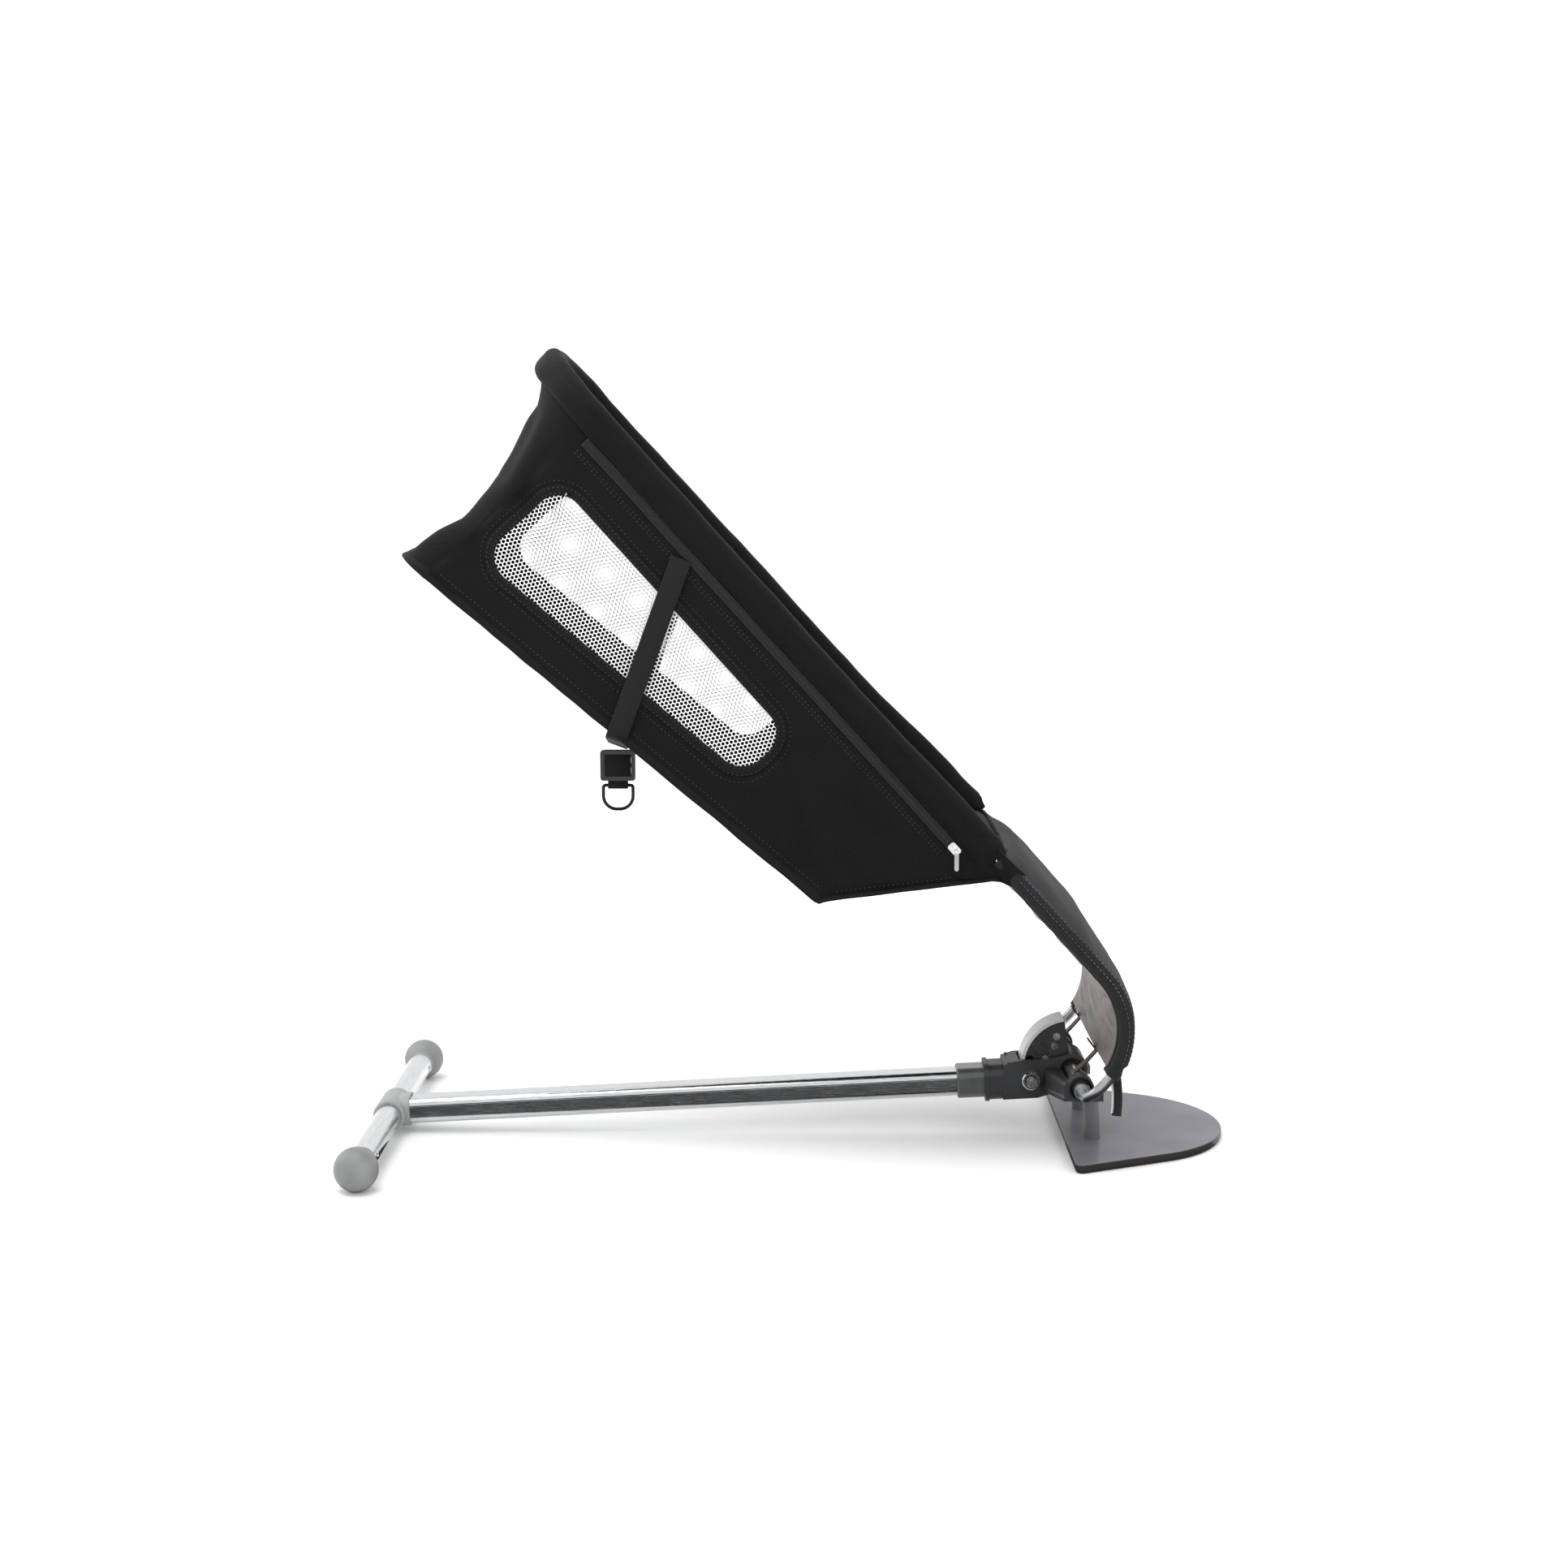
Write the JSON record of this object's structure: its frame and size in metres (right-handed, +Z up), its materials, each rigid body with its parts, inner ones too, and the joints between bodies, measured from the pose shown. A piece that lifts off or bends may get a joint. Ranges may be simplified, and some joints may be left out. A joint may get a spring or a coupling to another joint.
{
  "type": "infant bouncer seat",
  "caption": "Infant bouncer: a fabric bucket seat with mesh windows on a bent spring-rod frame that reclines on a T-shaped aluminium base with ball feet and a foot plate.",
  "frame": {"origin": "on the floor under the middle of the object's bounding box", "axes": "+X from the crossbar to the foot plate, +Z up, +Y to the left hand of the seated child"},
  "size_m": [0.841, 0.424, 0.7628],
  "materials": {
    "rubber_grey": "matte moulded rubber",
    "plastic_dark": "matte moulded nylon",
    "aluminium_tube": "anodised, satin",
    "steel_bright": "zinc plated",
    "plastic_grey": "matte moulded",
    "plastic_ferrule": "matte moulded",
    "chrome_trim": "polished",
    "plastic_light": "satin moulded",
    "plastic_black": "satin moulded",
    "plate_paint": "powder coated",
    "rubber_sole": "matte",
    "steel_rod": "satin plated spring steel",
    "fabric_black": "woven polyester canvas",
    "mesh_white": "knitted hexagonal netting",
    "fabric_binding": "stitched binding tape",
    "board": "pressed fibre board",
    "fabric_pad": "padded woven liner",
    "fabric_melange": "charcoal melange weave",
    "fabric_lining": "satin lining",
    "webbing_brown": "narrow woven tape",
    "zip_tape": "zip tape with nylon coil",
    "webbing_black": "polypropylene webbing",
    "ring_steel": "black coated wire"
  },
  "bodies": {
    "base": {"ball_foot_left": "rubber_grey", "ball_foot_right": "rubber_grey", "foot_plugs": "plastic_dark", "crossbar_tube": "aluminium_tube", "crossbar_rivets": "steel_bright", "t_joint": "plastic_grey", "main_rail": "aluminium_tube", "rail_ferrule": "plastic_ferrule", "yoke_housing": "plastic_dark", "lock_ring": "chrome_trim", "axle_bushes": "plastic_black", "post_left": "plastic_grey", "post_right": "plastic_grey", "foot_plate": "plate_paint", "plate_sole": "rubber_sole", "post_screws": "steel_bright"},
    "lock": {"lock_button": "plastic_light"},
    "recliner": {"cross_axle": "aluminium_tube", "axle_clips": "steel_bright", "sector_plate_left": "plastic_dark", "sector_plate_right": "plastic_dark", "sector_hub": "plastic_black", "sector_rim": "plastic_light", "sector_spacers": "plastic_black", "sector_screws": "chrome_trim"},
    "seat": {"side_rod_left": "steel_rod", "side_rod_right": "steel_rod", "rod_couplers": "steel_rod", "upper_bow": "steel_rod", "rim_sleeve": "fabric_black", "side_wall_left": "fabric_black", "side_wall_right": "fabric_black", "window_mesh_left": "mesh_white", "window_mesh_right": "mesh_white", "window_bindings": "fabric_binding", "head_wall": "fabric_black", "back_panel": "fabric_black", "back_board": "board", "back_pad": "fabric_pad", "seat_panel": "fabric_black", "seat_board": "board", "seat_pad": "fabric_pad", "leg_cover": "fabric_melange", "leg_lining": "fabric_lining", "tie_straps": "webbing_brown", "zip_tapes": "zip_tape", "leg_zip_tail": "zip_tape", "support_strap": "webbing_black", "strap_adjuster": "plastic_black", "ring_loop": "webbing_black", "buckle_body": "plastic_black", "buckle_tongues": "plastic_black", "waist_straps": "webbing_black", "crotch_strap": "webbing_black"},
    "slider_right": {"zip_slider_right": "chrome_trim"},
    "slider_left": {"zip_slider_left": "chrome_trim"},
    "puller_right": {"zip_puller_right": "chrome_trim"},
    "puller_left": {"zip_puller_left": "chrome_trim"},
    "ring": {"d_ring": "ring_steel"},
    "release": {"buckle_button": "plastic_light"}
  },
  "joints": [
    {"name": "recline", "type": "hinge", "parent": "base", "child": "recliner", "pos_m": [0.271, 0, 0.0686], "axis": [0, -1, 0], "range_deg": [0, 27]},
    {"name": "bounce", "type": "hinge", "parent": "recliner", "child": "seat", "pos_m": [0.271, 0, 0.0686], "axis": [0, -1, 0], "range_deg": [-4, 4], "stiffness_Nm_per_rad": 260, "springref_deg": -1.54},
    {"name": "lock_press", "type": "slide", "parent": "base", "child": "lock", "axis": [0, 1, 0], "range_m": [0, 0.0025], "stiffness_N_per_m": 600, "springref_m": -0.001},
    {"name": "zip_slide_right", "type": "slide", "parent": "seat", "child": "slider_right", "axis": [-0.6728, 0.0663, 0.7368], "range_m": [0, 0.48]},
    {"name": "zip_slide_left", "type": "slide", "parent": "seat", "child": "slider_left", "axis": [-0.6728, -0.0663, 0.7368], "range_m": [0, 0.48]},
    {"name": "puller_swing_right", "type": "hinge", "parent": "slider_right", "child": "puller_right", "pos_m": [0.14712, -0.13909, 0.30517], "axis": [-0.0447, -0.9978, 0.049], "range_deg": [-60, 60]},
    {"name": "puller_swing_left", "type": "hinge", "parent": "slider_left", "child": "puller_left", "pos_m": [0.14712, 0.13909, 0.30517], "axis": [-0.0447, 0.9978, 0.049], "range_deg": [-60, 60]},
    {"name": "ring_swing", "type": "hinge", "parent": "seat", "child": "ring", "pos_m": [-0.17275, 0, 0.34615], "axis": [1, 0, 0], "range_deg": [-70, 70]},
    {"name": "buckle_press", "type": "slide", "parent": "seat", "child": "release", "axis": [-0.6357, 0, -0.772], "range_m": [0, 0.0015], "stiffness_N_per_m": 800, "springref_m": -0.001}
  ]
}
